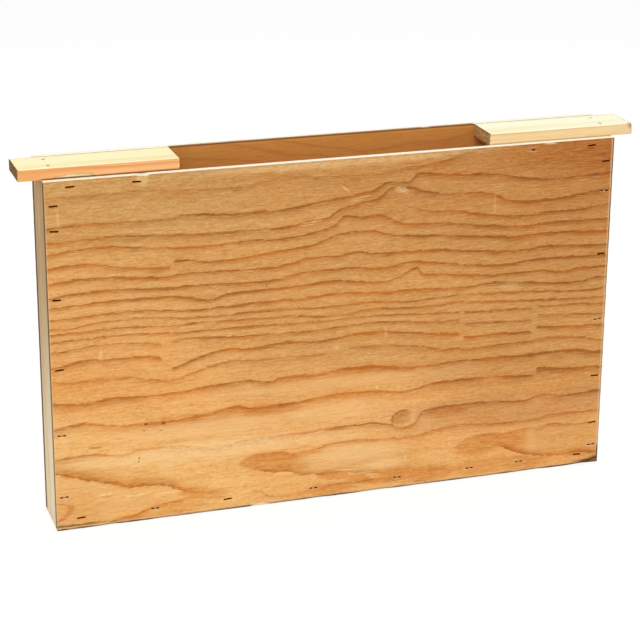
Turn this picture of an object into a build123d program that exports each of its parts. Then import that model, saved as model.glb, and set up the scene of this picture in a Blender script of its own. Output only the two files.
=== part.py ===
# Wooden frame feeder: a thin syrup tank that hangs between the combs of a beehive by two lug bars
import os

from build123d import *

os.makedirs("parts", exist_ok=True)

# Millimetres. X runs along the body, the low front panel faces -Y, Z is up from the underside.

# Body
body_length = 447.7  # over the end posts
overall_height = 282.0  # underside to the top of the lug bars
panel_thickness = 6.35  # plywood
frame_depth = 33.3  # posts, rail, cleats and bars, front to back between the panels
post_thickness = 12.7
rail_height = 19.0
edge_ease = 0.4  # sharp arrises rubbed down

# Lug bars and the cleats under them
bar_thickness = 9.5
bar_reach = 102.0  # from the end of the body inwards
lug_overhang = 17.45  # past the end of the body, onto the hive's rebate
lug_relief = 0.8  # taken off the underside of the lug
front_lap = 0.8  # how far the front panel stands up past the underside of the bars
cleat_height = 12.7
cleat_setback = 10.0  # the free end of the bar runs this far past its cleat

# Float
float_thickness = 6.0
float_side_gap = 1.5
float_end_gap = 16.0
float_rest_gap = 0.3
float_corner = 4.0
slot_width = 3.0
slot_length = 58.0
slot_bridge = 14.0  # wood left between slots in a row
slot_row_pitch = 13.0
slot_rows = 2

# Narrow-crown staples
crown_width = 6.4
wire_depth = 1.0
wire_height = 1.2
staple_shoulder = 0.6  # slope at the two corners of the crown
staple_leg = 19.0
staple_sink = 0.4  # crown driven below the face
side_corner_margin = 17.5  # below the seat of the bars, to the extra staple at the top corner
left_top_margin = 36.4  # below the seat of the bars, to the next one down
left_low_margin = 27.0
left_shares = (0.0, 0.24, 0.49, 0.75, 1.0)  # hand driven, so not quite even
right_top_margin = 41.5
right_low_margin = 16.0
right_shares = (0.0, 0.28, 0.505, 0.76, 1.0)
right_extra_step = 19.5  # a second staple close above the lowest on the right
rail_end_margin = 6.0  # from the inner face of the post
rail_staple_rise = 8.7
rail_shares = (0.0, 0.14, 0.28, 0.45, 0.62, 0.77, 0.875, 1.0)
top_staple_drop = 4.0  # below the seat of the bars
cleat_outer_margin = 6.3  # from the inner face of the post
cleat_inner_margin = 24.0  # from the free end of the cleat
back_stagger = 7.0  # the back rows are shifted so that their legs miss those of the front
staple_tilts = (-3.0, 2.0, -4.0, 1.0, 3.5, -1.5)  # degrees off level, taken in turn along a row

# Brads that hold each bar down on its post
brad_radius = 0.8
brad_head_radius = 1.4
brad_head_height = 0.8
brad_length = 24.0
brad_sink = 0.3
brad_pitch = 18.0

# Worked out from the sizes above
half_length = body_length / 2
half_depth = frame_depth / 2
outer_face = half_depth + panel_thickness
bar_seat = overall_height - bar_thickness
front_height = bar_seat + front_lap
cavity_half = half_length - post_thickness
bar_end = half_length - bar_reach
cleat_end = bar_end + cleat_setback
post_middle = half_length - post_thickness / 2
float_length = 2 * (cavity_half - float_end_gap)
float_width = frame_depth - 2 * float_side_gap
slot_pitch = slot_length + slot_bridge
slot_columns = int((float_length - slot_bridge) // slot_pitch)
crown_face = -outer_face + staple_sink
sides = {"left": -1, "right": 1}


def spread(first, last, shares):
    return [first + (last - first) * share for share in shares]


# One staple in the front face, crown level, at the middle of the body's length and at its underside
with BuildPart() as staple:
    with BuildSketch() as wire_shape:
        with Locations((0, crown_face)):
            Rectangle(crown_width, staple_leg, align=(Align.CENTER, Align.MIN))
        with Locations((0, crown_face + wire_depth)):
            Rectangle(
                crown_width - 2 * wire_depth, staple_leg, align=(Align.CENTER, Align.MIN), mode=Mode.SUBTRACT
            )
        chamfer(wire_shape.vertices().group_by(Axis.Y)[0], staple_shoulder)
    extrude(amount=wire_height / 2, both=True)

# The hole that the staple makes: its own shape, and the slot that its crown sinks through
with BuildPart() as staple_hole:
    add(staple.part)
    with BuildSketch():
        with Locations((0, -outer_face)):
            Rectangle(crown_width, staple_sink + wire_depth, align=(Align.CENTER, Align.MIN))
    extrude(amount=wire_height / 2, both=True)

# Staple rows: each has its places along the panel, as X and Z, by the edge that it fastens
side_corner = bar_seat - side_corner_margin
left_heights = spread(left_low_margin, bar_seat - left_top_margin, left_shares) + [side_corner]
right_heights = spread(right_low_margin, bar_seat - right_top_margin, right_shares) + [side_corner]
right_heights.append(right_low_margin + right_extra_step)
rail_reach = cavity_half - rail_end_margin
cleat_spots = (cavity_half - cleat_outer_margin, cleat_end + cleat_inner_margin)


def staple_rows(stagger):
    rail_half = rail_reach - stagger
    cleat_line = bar_seat - top_staple_drop
    return {
        "left": [(-post_middle, height - stagger) for height in left_heights],
        "right": [(post_middle, height - stagger) for height in right_heights],
        "bottom": [(place, rail_staple_rise) for place in spread(-rail_half, rail_half, rail_shares)],
        "top": [(side * (spot - stagger), cleat_line) for side in (-1, 1) for spot in cleat_spots],
    }


faces = {"front": (0, 0), "back": (180, back_stagger)}  # turn about Z, stagger
row_names = ("left", "right", "bottom", "top")
staple_holes = {}
for face_name, (turn, stagger) in faces.items():
    for row_name, spots in staple_rows(stagger).items():
        tilts = [staple_tilts[number % len(staple_tilts)] for number in range(len(spots))]
        places = [Location((x, 0, z), (0, tilt, turn)) for (x, z), tilt in zip(spots, tilts)]
        with BuildPart() as staples:
            with Locations(*places):
                add(staple.part)
        with BuildPart() as holes:
            with Locations(*places):
                add(staple_hole.part)
        staples.part.label = f"{face_name}_{row_name}_staples"
        export_step(staples.part, f"parts/{staples.part.label}.step")
        staple_holes[face_name, row_name] = holes.part

# A pair of brads at each end, heads a little below the top of the bar
brad_holes = {}
for side_name, side in sides.items():
    places = [(side * post_middle, place) for place in (-brad_pitch / 2, brad_pitch / 2)]
    with BuildPart() as brads:
        with BuildSketch(Plane.XY.offset(overall_height - brad_sink)):
            with Locations(*places):
                Circle(brad_head_radius)
        extrude(amount=-brad_head_height)
        with BuildSketch(Plane.XY.offset(overall_height - brad_sink)):
            with Locations(*places):
                Circle(brad_radius)
        extrude(amount=-brad_length)
    with BuildPart() as holes:
        add(brads.part)
        with BuildSketch(Plane.XY.offset(overall_height)):
            with Locations(*places):
                Circle(brad_head_radius)
        extrude(amount=-brad_sink)
    brads.part.label = f"{side_name}_lug_brads"
    export_step(brads.part, f"parts/{brads.part.label}.step")
    brad_holes[side_name] = holes.part

# Front panel, low enough at the top for bees to walk in over it
with BuildPart() as front_panel:
    with BuildSketch(Plane.XZ.offset(half_depth)):
        Rectangle(body_length, front_height, align=(Align.CENTER, Align.MIN))
    extrude(amount=panel_thickness)
    chamfer(front_panel.faces().sort_by(Axis.Y)[0].edges(), edge_ease)
    for row_name in row_names:
        add(staple_holes["front", row_name], mode=Mode.SUBTRACT)
front_panel.part.label = "front_panel"
export_step(front_panel.part, "parts/front_panel.step")

# Back panel, flush with the top of the bars
with BuildPart() as back_panel:
    with BuildSketch(Plane.XZ.offset(-half_depth)):
        Rectangle(body_length, overall_height, align=(Align.CENTER, Align.MIN))
    extrude(amount=-panel_thickness)
    chamfer(back_panel.faces().sort_by(Axis.Y)[-1].edges(), edge_ease)
    for row_name in row_names:
        add(staple_holes["back", row_name], mode=Mode.SUBTRACT)
back_panel.part.label = "back_panel"
export_step(back_panel.part, "parts/back_panel.step")

# End posts, from the underside to the seat of the bars
for side_name, side in sides.items():
    with BuildPart() as end_post:
        with BuildSketch():
            with Locations((side * post_middle, 0)):
                Rectangle(post_thickness, frame_depth)
        extrude(amount=bar_seat)
        for face_name in faces:
            add(staple_holes[face_name, side_name], mode=Mode.SUBTRACT)
        add(brad_holes[side_name], mode=Mode.SUBTRACT)
    end_post.part.label = f"{side_name}_end_post"
    export_step(end_post.part, f"parts/{end_post.part.label}.step")

# Bottom rail, the floor of the tank between the posts
with BuildPart() as bottom_rail:
    with BuildSketch():
        Rectangle(2 * cavity_half, frame_depth)
    extrude(amount=rail_height)
    for face_name in faces:
        add(staple_holes[face_name, "bottom"], mode=Mode.SUBTRACT)
bottom_rail.part.label = "bottom_rail"
export_step(bottom_rail.part, "parts/bottom_rail.step")

# Lug bars, drawn at the left end in side view and mirrored for the right
with BuildPart() as plain_bar:
    with BuildSketch(Plane.XZ):
        with BuildLine():
            Polyline(
                (-half_length - lug_overhang, overall_height),
                (-bar_end, overall_height),
                (-bar_end, bar_seat),
                (-half_length, bar_seat),
                (-half_length, bar_seat + lug_relief),
                (-half_length - lug_overhang, bar_seat + lug_relief),
                close=True,
            )
        make_face()
    extrude(amount=half_depth, both=True)
    chamfer(plain_bar.faces().sort_by(Axis.Z)[-1].edges(), edge_ease)
    chamfer(plain_bar.faces().sort_by(Axis.X)[0].edges().sort_by(Axis.Z)[0], edge_ease)

with BuildPart() as left_lug_bar:
    add(plain_bar.part)
    add(brad_holes["left"], mode=Mode.SUBTRACT)
left_lug_bar.part.label = "left_lug_bar"
export_step(left_lug_bar.part, "parts/left_lug_bar.step")

with BuildPart() as right_lug_bar:
    mirror(plain_bar.part, about=Plane.YZ)
    add(brad_holes["right"], mode=Mode.SUBTRACT)
right_lug_bar.part.label = "right_lug_bar"
export_step(right_lug_bar.part, "parts/right_lug_bar.step")

# Cleats under the bars, between the post and the mouth, that the panels are stapled to
for side_name, side in sides.items():
    with BuildPart() as bar_cleat:
        with BuildSketch(Plane.XY.offset(bar_seat)):
            with Locations((side * (cavity_half + cleat_end) / 2, 0)):
                Rectangle(cavity_half - cleat_end, frame_depth)
        extrude(amount=-cleat_height)
        for face_name in faces:
            add(staple_holes[face_name, "top"], mode=Mode.SUBTRACT)
    bar_cleat.part.label = f"{side_name}_bar_cleat"
    export_step(bar_cleat.part, f"parts/{bar_cleat.part.label}.step")

# Float, a slotted slat on the floor of the tank that rises with the syrup
with BuildPart() as syrup_float:
    with BuildSketch(Plane.XY.offset(rail_height + float_rest_gap)):
        RectangleRounded(float_length, float_width, float_corner)
        with GridLocations(slot_pitch, slot_row_pitch, slot_columns, slot_rows):
            SlotOverall(slot_length, slot_width, mode=Mode.SUBTRACT)
    extrude(amount=float_thickness)
    chamfer(syrup_float.faces().sort_by(Axis.Z)[-1].outer_wire().edges(), edge_ease)
syrup_float.part.label = "syrup_float"
export_step(syrup_float.part, "parts/syrup_float.step")
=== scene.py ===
import math

import bmesh
import bpy
from mathutils import Matrix, Vector, noise


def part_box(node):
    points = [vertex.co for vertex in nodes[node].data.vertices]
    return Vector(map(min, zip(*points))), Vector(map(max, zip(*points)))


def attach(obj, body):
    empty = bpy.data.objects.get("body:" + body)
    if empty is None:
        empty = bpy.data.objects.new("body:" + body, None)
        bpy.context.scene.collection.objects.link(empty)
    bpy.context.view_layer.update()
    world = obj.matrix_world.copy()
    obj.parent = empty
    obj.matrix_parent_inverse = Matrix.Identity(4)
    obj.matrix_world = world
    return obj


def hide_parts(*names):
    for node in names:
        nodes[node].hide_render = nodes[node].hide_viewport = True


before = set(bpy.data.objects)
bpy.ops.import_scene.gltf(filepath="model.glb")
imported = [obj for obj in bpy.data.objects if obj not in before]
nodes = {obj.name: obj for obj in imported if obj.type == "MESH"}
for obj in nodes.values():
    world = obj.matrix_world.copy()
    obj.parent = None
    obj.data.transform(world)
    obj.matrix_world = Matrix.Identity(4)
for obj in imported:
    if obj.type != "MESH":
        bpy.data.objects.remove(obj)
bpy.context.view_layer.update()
mm = 0.001
hairline = 1e-7  # m, for cuts
touching = 1e-6  # m, for points that are one
onFace = 2e-5  # m
nearFace = 2e-4  # m
print("frame loaded:", len(nodes), "nodes")


def pairMaths(operation):
    return lambda wire, other: wire.maths(operation, wire, other)


class Wire:  # one socket of a node tree; sums and products of wires add Math nodes
    def __init__(self, tree, socket):
        self.tree = tree
        self.socket = socket

    def node(self, kind, inputs=None, out=0, **settings):
        made = self.tree.nodes.new("ShaderNode" + kind)
        for key, value in settings.items():
            if key == "stops":
                fillRamp(made.color_ramp, value)
            elif key == "knots":
                fillCurve(made.mapping, value)
            else:
                setattr(made, key, value)
        for key, value in (inputs or {}).items():
            if isinstance(value, Wire):
                self.tree.links.new(value.socket, made.inputs[key])
            else:
                made.inputs[key].default_value = value
        return Wire(self.tree, made.outputs[out])

    def maths(self, operation, *terms):
        return self.node("Math", dict(enumerate(terms)), operation=operation)

    def __rsub__(self, other):
        return self.maths("SUBTRACT", other, self)

    def __abs__(self):
        return self.maths("ABSOLUTE", self)

    __add__ = __radd__ = pairMaths("ADD")
    __mul__ = __rmul__ = pairMaths("MULTIPLY")
    __sub__ = pairMaths("SUBTRACT")
    __truediv__ = pairMaths("DIVIDE")
    __pow__ = pairMaths("POWER")


def least(first, second):
    return first.maths("MINIMUM", first, second)


def most(first, second):
    return first.maths("MAXIMUM", first, second)


def fillRamp(ramp, stops):
    ramp.interpolation = "EASE"
    while len(ramp.elements) < len(stops):
        ramp.elements.new(1)
    for element, (place, shade) in zip(ramp.elements, stops):
        element.position = place
        element.color = shade


def fillCurve(mapping, knots):
    points = mapping.curves[0].points
    while len(points) < len(knots):
        points.new(0.5, 0.5)
    for point, place in zip(points, knots):
        point.location = place
        point.handle_type = "AUTO_CLAMPED"
    mapping.extend = "HORIZONTAL"
    mapping.update()


def paint(red, green, blue):  # screen colour, 0 to 255, as the linear one that nodes take
    parts = [part / 255 for part in (red, green, blue)]
    linear = [((part + 0.055) / 1.055) ** 2.4 if part > 0.04045 else part / 12.92 for part in parts]
    return (*linear, 1)


def startFinish(name):
    material = bpy.data.materials.new(name)
    material.use_nodes = True
    tree = material.node_tree
    coordinate = Wire(tree, tree.nodes.new("ShaderNodeTexCoord").outputs["Object"])
    place = coordinate.node("VectorMath", {0: coordinate, "Scale": 1000}, operation="SCALE")
    return material, place, tree.nodes["Principled BSDF"]


def endFinish(shader, colour, rough, height, depth, strength, sheen=0.15):
    shader.inputs["Specular IOR Level"].default_value = sheen
    colour.tree.links.new(colour.socket, shader.inputs["Base Color"])
    colour.tree.links.new(rough.socket, shader.inputs["Roughness"])
    relief = height.node("Bump", {"Strength": strength, "Distance": depth * mm, "Height": height})
    colour.tree.links.new(relief.socket, shader.inputs["Normal"])


def axes(place):  # x, y and z in mm
    return [place.node("SeparateXYZ", {0: place}, out=axis) for axis in range(3)]


def fibre(place, stretch, detail=2, rough=0.5, shift=(0, 0, 0)):
    spot = place.node("Mapping", {"Vector": place, "Location": shift, "Scale": stretch})
    return place.node("TexNoise", {"Vector": spot, "Scale": 1, "Detail": detail, "Roughness": rough})


def ease(value, low, high):
    return value.node("MapRange", {"Value": value, "From Min": low, "From Max": high}, interpolation_type="SMOOTHSTEP")


def blend(factor, first, second, way="MIX"):
    wire = next(part for part in (factor, first, second) if isinstance(part, Wire))
    return wire.node("Mix", {0: factor, 6: first, 7: second}, out=2, data_type="RGBA", blend_type=way)


class Coat(Wire):  # a colour that others are laid over: wires, or shades by name
    def __init__(self, wire, shades):
        super().__init__(wire.tree, wire.socket)
        self.shades = shades

    def lay(self, mask, shade, way="MIX"):
        over = shade if isinstance(shade, Wire) else self.shades[shade]
        self.socket = blend(mask, self, over, way).socket

    def tint(self, mask, shade):
        self.lay(mask, shade, "MULTIPLY")


def curve(value, knots):
    return value.node("FloatCurve", {"Value": value}, knots=knots)


def mark(name, wire):  # a float attribute of the mesh
    return wire.node("Attribute", out="Fac", attribute_name=name)


# Studio: the camera stands where the photograph was taken from

studio = {
    "aim": (0, 0, 0.13665), "distance": 1.60181, "azimuth": -18.395, "elevation": 19.554, "roll": 0.431,
    "lens": 116.05, "shift": (-0.0161, 0.0035), "sensor": 36, "farthest": 50,
    "floorTone": 0.8, "floorGlow": 0.74, "floorShade": 0.34, "floorHalf": 6, "floorDrop": 0.0004, "worldTone": 0.62,
    "lamps": [  # place, aim, width, watts
        ((-0.45, -1.7, 1.35), (0, 0, 0.1), 1.3, 16),
        ((0.3, 0.1, 2.1), (0, 0, 0.15), 1.2, 8),
        ((-1.9, -0.4, 0.7), (-0.2, 0, 0.12), 0.9, 2.4),
    ],
}


def linkObject(name, data):
    made = bpy.data.objects.new(name, data)
    bpy.context.scene.collection.objects.link(made)
    return made


def aimedMatrix(place, aim, roll=0):
    back = (Vector(place) - Vector(aim)).normalized()
    right = Vector((0, 0, 1)).cross(back).normalized()
    turned = Matrix.Rotation(roll, 3, back)
    right = turned @ right
    up = back.cross(right)
    matrix = Matrix((right, up, back)).transposed().to_4x4()
    matrix.translation = Vector(place)
    return matrix


def seenRays(start):  # from the camera, or by way of a mirror or glass
    kinds = ("Camera", "Glossy", "Transmission")
    camera, mirror, glass = (start.node("LightPath", out=f"Is {kind} Ray") for kind in kinds)
    return most(camera, most(mirror, glass))


def addStudio(s):
    around, lift = math.radians(s["azimuth"]), math.radians(s["elevation"])
    back = Vector((math.sin(around) * math.cos(lift), -math.cos(around) * math.cos(lift), math.sin(lift)))
    lens = bpy.data.cameras.new("studioCamera")
    lens.lens, lens.sensor_width = s["lens"], s["sensor"]
    lens.shift_x, lens.shift_y = s["shift"]
    lens.clip_end = s["farthest"]
    camera = linkObject("studioCamera", lens)
    camera.matrix_world = aimedMatrix(Vector(s["aim"]) + s["distance"] * back, s["aim"], math.radians(s["roll"]))
    bpy.context.scene.camera = camera
    for number, (place, aim, width, watts) in enumerate(s["lamps"]):
        lamp = bpy.data.lights.new(f"softbox{number}", "AREA")
        lamp.shape, lamp.size, lamp.energy = "SQUARE", width, watts
        linkObject(lamp.name, lamp).matrix_world = aimedMatrix(place, aim)

    floorMesh = bmesh.new()
    bmesh.ops.create_grid(floorMesh, x_segments=2, y_segments=2, size=s["floorHalf"])
    bmesh.ops.translate(floorMesh, vec=(0, 0, -s["floorDrop"]), verts=floorMesh.verts)
    mesh = bpy.data.meshes.new("studioFloor")
    floorMesh.to_mesh(mesh)
    floorMesh.free()
    floor = linkObject("studioFloor", mesh)
    material = bpy.data.materials.new("studioPaper")
    material.use_nodes = True
    tree = material.node_tree
    tree.nodes.remove(tree.nodes["Principled BSDF"])
    start = Wire(tree, None)
    glow, shade, tone = ((s[key], s[key], s[key], 1) for key in ("floorGlow", "floorShade", "floorTone"))
    lit = start.node("Emission", {"Color": glow, "Strength": 1})
    shaded = start.node("BsdfDiffuse", {"Color": shade})
    paper = start.node("BsdfDiffuse", {"Color": tone})
    shown = start.node("AddShader", {0: lit, 1: shaded})
    ends = start.node("MixShader", {0: seenRays(start), 1: paper, 2: shown})
    tree.links.new(ends.socket, tree.nodes["Material Output"].inputs["Surface"])
    mesh.materials.append(material)

    world = bpy.data.worlds.new("studioAir")
    world.use_nodes = True
    tree = world.node_tree
    light = seenRays(Wire(tree, None)) * (1 - s["worldTone"]) + s["worldTone"]
    background = tree.nodes["Background"]
    background.inputs["Color"].default_value = (1, 1, 1, 1)
    tree.links.new(light.socket, background.inputs["Strength"])
    bpy.context.scene.world = world
    bpy.context.scene.view_settings.view_transform = "Standard"


addStudio(studio)
print("studio set")

# Plywood: growth lines as they run along the face of the front sheet.
# Each has its strength, how far it fades below the line (above, if negative), points along and up in mm from
# the low left corner and, in some, where it comes in and dies out.

ringLines = {
    "topWash": (0.34, 8, ((0, 263), (30, 262.5), (75, 263.5), (100, 261), (150, 259.5), (165, 262.5), (190, 264),
        (210, 262), (256, 261.5), (280, 264.5), (300, 266), (325, 272)), None, (325, 350)),
    "crest": (0.6, 6.5, ((0, 240), (20, 241), (92, 239.5), (102, 241.5), (150, 238.8), (180, 239.5), (200, 242),
        (235, 246), (250, 248.5), (263, 254), (277, 252.5), (287, 258.5), (312, 256), (350, 253), (376, 247.5),
        (395, 246), (448, 247))),
    "second": (0.62, 6.8, ((0, 229), (50, 230), (92, 227.5), (125, 226), (172, 225.5), (205, 229), (213, 230),
        (223, 235.5), (240, 239.5), (254, 242), (267, 249.5), (276, 249), (300, 242.5), (347, 237.5), (360, 231.5),
        (380, 229), (448, 234))),
    "branch": (0.66, 5.8, ((255, 239), (268, 237), (280, 233), (297, 228), (312, 227.5), (335, 223), (375, 217.8),
        (400, 219.5), (415, 218.8), (448, 222)), (268, 312), None),
    "third": (0.72, 5.5, ((0, 219.5), (37, 222.5), (75, 219), (120, 216.5), (150, 217.5), (170, 216.5), (207, 220.5),
        (219, 223.5), (228, 230), (240, 228), (252, 228.5), (264, 225), (272, 220.5), (300, 218), (350, 212),
        (378, 209.5), (395, 210.5), (448, 209))),
    "fourth": (0.86, 5.5, ((0, 209), (12, 210.5), (35, 210), (50, 206.5), (92, 203.3), (94.5, 207.5), (130, 204),
        (175, 207.5), (200, 209.5), (215, 214), (232, 217), (248, 217), (262, 212.5), (300, 208.5), (350, 203.5),
        (375, 201.5), (395, 202), (448, 199))),
    "fifth": (0.92, 5, ((0, 197.5), (28, 199.5), (90, 195.5), (98, 196.5), (170, 194.8), (187, 197), (202, 199.5),
        (222, 199), (238, 201), (250, 199), (300, 197), (322, 194), (375, 190), (390, 191), (448, 188))),
    "sixth": (0.9, 4.5, ((0, 186), (25, 189), (65, 188), (85, 186.5), (110, 186.5), (167, 184.5), (200, 189),
        (237, 188.5), (252, 186), (265, 186.5), (278, 189), (300, 186.5), (322, 182.5), (366, 179.5), (386, 181.5),
        (448, 179.5))),
    "seventh": (0.96, 4.5, ((0, 179), (57, 180.5), (106, 177.5), (121, 174.3), (135, 177.5), (190, 178), (215, 179.8),
        (245, 176), (259, 175), (272, 178), (286, 183.8), (290, 178.5), (300, 177), (366, 171.8), (385, 172),
        (412, 168.8), (422, 170.5), (448, 170.8))),
    "eighth": (0.98, 4, ((0, 169.8), (55, 171), (118, 167), (145, 168), (195, 168), (220, 169.3), (265, 165.8),
        (275, 166.5), (300, 165.5), (322, 164), (352, 165.5), (380, 162.5), (425, 159), (433, 161), (448, 161.5))),
    "ninth": (0.84, 3.2, ((0, 162.8), (12, 162), (38, 164.8), (65, 165), (115, 160.6), (165, 161), (220, 158.6),
        (240, 159.8), (285, 157), (312, 158), (385, 154.8), (432, 151.5), (448, 152.5))),
    "tenth": (0.84, 3.2, ((0, 158.2), (62, 158.8), (90, 156), (108, 156.5), (150, 155.5), (180, 154.8), (225, 151.3),
        (245, 153.4), (300, 151), (315, 151.8), (380, 148), (427, 144.8), (448, 144.6))),
    "eleventh": (0.76, 3.2, ((0, 152.2), (57, 153.2), (90, 150.4), (150, 149.6), (210, 148), (262, 147.3),
        (298, 145.2), (321, 143.7), (357, 143), (387.5, 141.9), (420, 140.4), (448, 138.2))),
    "twelfth": (0.6, 4.5, ((0, 144.5), (45, 146.5), (90, 143.3), (98, 145.3), (150, 142.5), (200, 141), (240, 142.5),
        (275, 140.5), (298, 138.4), (321, 137.4), (345, 136.8), (387.5, 134.6), (415, 132.4), (448, 129.8))),
    "dipped": (0.84, 6, ((0, 132.5), (33, 136.5), (38, 134.8), (60, 135), (82, 132.5), (92, 124), (110, 129),
        (122, 132), (138, 134), (150, 132.3), (182, 134), (205, 132), (243, 135), (280, 131.5), (312, 127.2),
        (326, 126.1), (345, 126), (387.5, 124.7), (415, 122.7), (448, 120.7))),
    "faint": (0.46, 6.5, ((0, 121.5), (15, 120), (55, 120.5), (68, 117.5), (90, 113.8), (120, 121), (138, 123.5),
        (165, 122), (210, 121.5), (242, 123.5), (290, 119.5), (318, 113.4), (345, 114), (387.5, 115.1), (420, 113.2),
        (448, 107.2))),
    "broad": (0.74, 8.5, ((0, 105), (25, 102.5), (45, 104.5), (75, 103), (148, 106.5), (170, 103.8), (177, 106),
        (205, 105), (232, 108), (250, 107.5), (275, 103.5), (305, 102), (315, 103.5), (357, 103.5), (368, 102),
        (395, 102.5), (423, 102.5), (434, 100), (448, 98.3))),
    "lower": (0.72, 8.5, ((0, 84), (25, 86.5), (40, 83), (80, 80.5), (118, 83), (140, 86.5), (155, 83.5), (190, 84),
        (227, 87.5), (252, 86), (275, 83), (307, 87.5), (347, 87), (384, 84.5), (392, 90), (412, 87.5), (448, 85.5))),
    "lowest": (0.68, 6.5, ((0, 59), (28, 60.8), (52, 57.3), (66, 60.3), (96, 59.3), (128, 54), (145, 57.3),
        (197, 58.3), (247, 59.3), (262, 57), (278, 52.3), (287, 55), (295, 65), (335, 66.3), (380, 63), (394, 66.3),
        (412, 63.8), (448, 64.8))),
    "flameTop": (0.58, 4.5, ((140, 36), (146, 41.5), (155, 44.3), (172, 44.3), (190, 41), (205, 42.8), (222, 46.3),
        (240, 46), (275, 43.4), (290, 44), (303, 46.5), (327, 47.8), (362, 45.8), (392, 45.3), (403, 47.8),
        (448, 46.8)), (148, 164), None),
    "flameLow": (0.62, -5, ((140, 38), (146, 33.5), (160, 29), (170, 26.6), (181, 25.4), (191, 21.4), (203, 20.2),
        (214, 18), (226, 19.6), (240, 16.5), (268, 13)), (148, 164), (236, 268)),
    "tongueTop": (0.4, 4.5, ((318, 27), (321, 30), (327, 33.5), (335, 37.8), (352, 37.6), (368, 37), (382, 38.6),
        (395, 37.5), (403, 40), (418, 38.3), (448, 36.3)), (326, 346), None),
    "tongueLow": (0.84, -5.5, ((318, 29), (321, 27), (327, 24), (345, 22), (357, 24.8), (366, 21.5), (378, 16),
        (390, 12.8), (416, 9.7), (426, 10.7), (448, 7.5)), (350, 374), None),
    "sweep": (0.95, -9, ((0, 46), (10, 43), (30, 36.4), (43, 32.6), (53, 28.6), (68, 27.8), (83, 26.3), (91, 23.3),
        (99, 19.5), (106, 17.5), (135, 12)), None, (94, 116)),
    "wedge": (0.66, 7, ((30, 0), (50, 5.8), (60, 6.8), (66, 8.8), (76, 11.8), (100, 15), (106, 15.5),
        (140, 12)), (36, 44), (92, 112)),
    "creep": (0.5, 4, ((145, 14), (160, 13.4), (166, 9.2), (181, 6), (193, 6.8), (210, 10.5), (230, 10.5),
        (300, 7)), (150, 158), (260, 300)),
}
ringProfile = [
    (0, 0), (0.16, 0.06), (0.23, 0.55), (0.29, 1), (0.34, 0.92), (0.44, 0.56), (0.62, 0.33), (0.82, 0.16),
    (1, 0)]
ringDrop = 0.45  # mm

# x, z, half width and half height in mm, strength and, in some, tilt in degrees
darkSpots = [
    (70.3, 79, 1.9, 1.3, 0.85), (84, 78, 2.1, 1.2, 0.85), (69, 74, 1.8, 0.7, 0.5), (82, 72.5, 2, 0.7, 0.45),
    (71.6, 82.6, 1.3, 0.6, 0.5), (85, 81.6, 1.3, 0.7, 0.5), (31, 64.5, 6, 0.9, 0.6, -2), (64.6, 52, 0.8, 1.4, 0.8),
    (64.2, 49, 0.7, 1.2, 0.8), (165.5, 179.5, 0.8, 1.7, 0.5), (428, 266.5, 3.5, 0.9, 0.5),
    (285, 182, 3.6, 0.8, 0.5, 30), (101, 205.4, 6.5, 0.6, 0.45, -3), (100, 207.6, 5, 0.5, 0.35, 2),
    (99, 226.3, 6, 0.9, 0.4, 4), (142, 255.5, 3, 0.7, 0.4, 6), (39, 23.4, 5, 0.5, 0.4, 3),
    (60, 22.4, 3, 0.4, 0.35, 2),
]
paleSpots = [
    (72, 269.5, 5.5, 5, 0.6), (9.5, 246, 1.3, 7, 0.35), (37.5, 139, 1.6, 4.5, 0.6), (222, 124, 2.2, 1.8, 0.5),
    (261.5, 132, 1.6, 6, 0.3), (255, 87.5, 1.5, 2, 0.7), (279.5, 24, 1.8, 4, 0.6), (252, 14, 6.5, 1, 0.8),
    (254.5, 11.6, 5.5, 0.9, 0.7), (388, 27, 5, 15, 0.25), (86, 46, 9, 8, 0.5), (349, 228, 1.2, 11, 0.25),
    (188.5, 96, 0.9, 5.5, 0.5, 25), (227, 250.5, 5.5, 0.8, 0.6, -38), (37, 25.3, 7, 1, 1.2, 6),
    (62, 21.8, 12, 0.9, 1.1, 2), (86, 20.5, 12, 1.6, 0.8, -3), (240, 242.3, 9, 0.6, 0.7, 8),
    (236, 240, 8, 0.5, 0.5, 8), (203, 226.6, 10, 0.6, 0.7, 6), (197, 224.4, 9, 0.5, 0.5, 5),
    (208, 229, 8, 0.5, 0.5, 8), (7, 24, 2.4, 7, 0.3), (272.5, 245.6, 6.5, 2.8, 0.75, -14), (365, 160, 12, 5, 0.3),
    (225, 272.5, 140, 6.5, 0.55), (232, 20.6, 13, 0.8, 0.7, -6), (246, 16.4, 9, 0.9, 0.7),
    (186, 24, 10, 0.6, 0.6, -14), (118, 52, 130, 9, 0.75), (238, 34, 46, 9, 0.6), (262, 22, 22, 6, 0.6),
    (110, 70, 84, 9, 0.4, -1), (218, 71, 46, 9, 0.4), (225, 95, 120, 6, 0.25),
]
orangePools = [
    (262, 12, 42, 8, 1.1), (220, 17.5, 16, 5, 1.1, -10), (218, 7, 26, 5.5, 0.9), (300, 9, 26, 8.5, 1.1),
    (342, 9, 28, 9, 0.7), (382, 8, 26, 8, 0.8), (340, 25, 22, 7, 1), (98, 8, 28, 7, 0.6),
    (113, 16.5, 24, 6.5, 1, -10), (314, 60, 30, 6.5, 0.85, -2), (245, 104, 40, 5, 0.5), (160, 80, 30, 7, 0.6, -4),
    (330, 77, 50, 7, 0.35), (415, 258, 60, 15, 0.45), (432, 10, 20, 4, 0.8, -6), (362, 12, 10, 7, 0.5),
    (28, 43.5, 36, 6.5, 0.7, -18), (74, 31.5, 24, 5, 0.6, -7), (108, 79, 46, 5.5, 0.55), (40, 18, 76, 36, 0.45),
    (12, 14, 36, 24, 0.8), (26, 118, 84, 36, 0.36), (384, 66, 90, 44, 0.48), (330, 122, 64, 34, 0.18),
]

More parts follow.
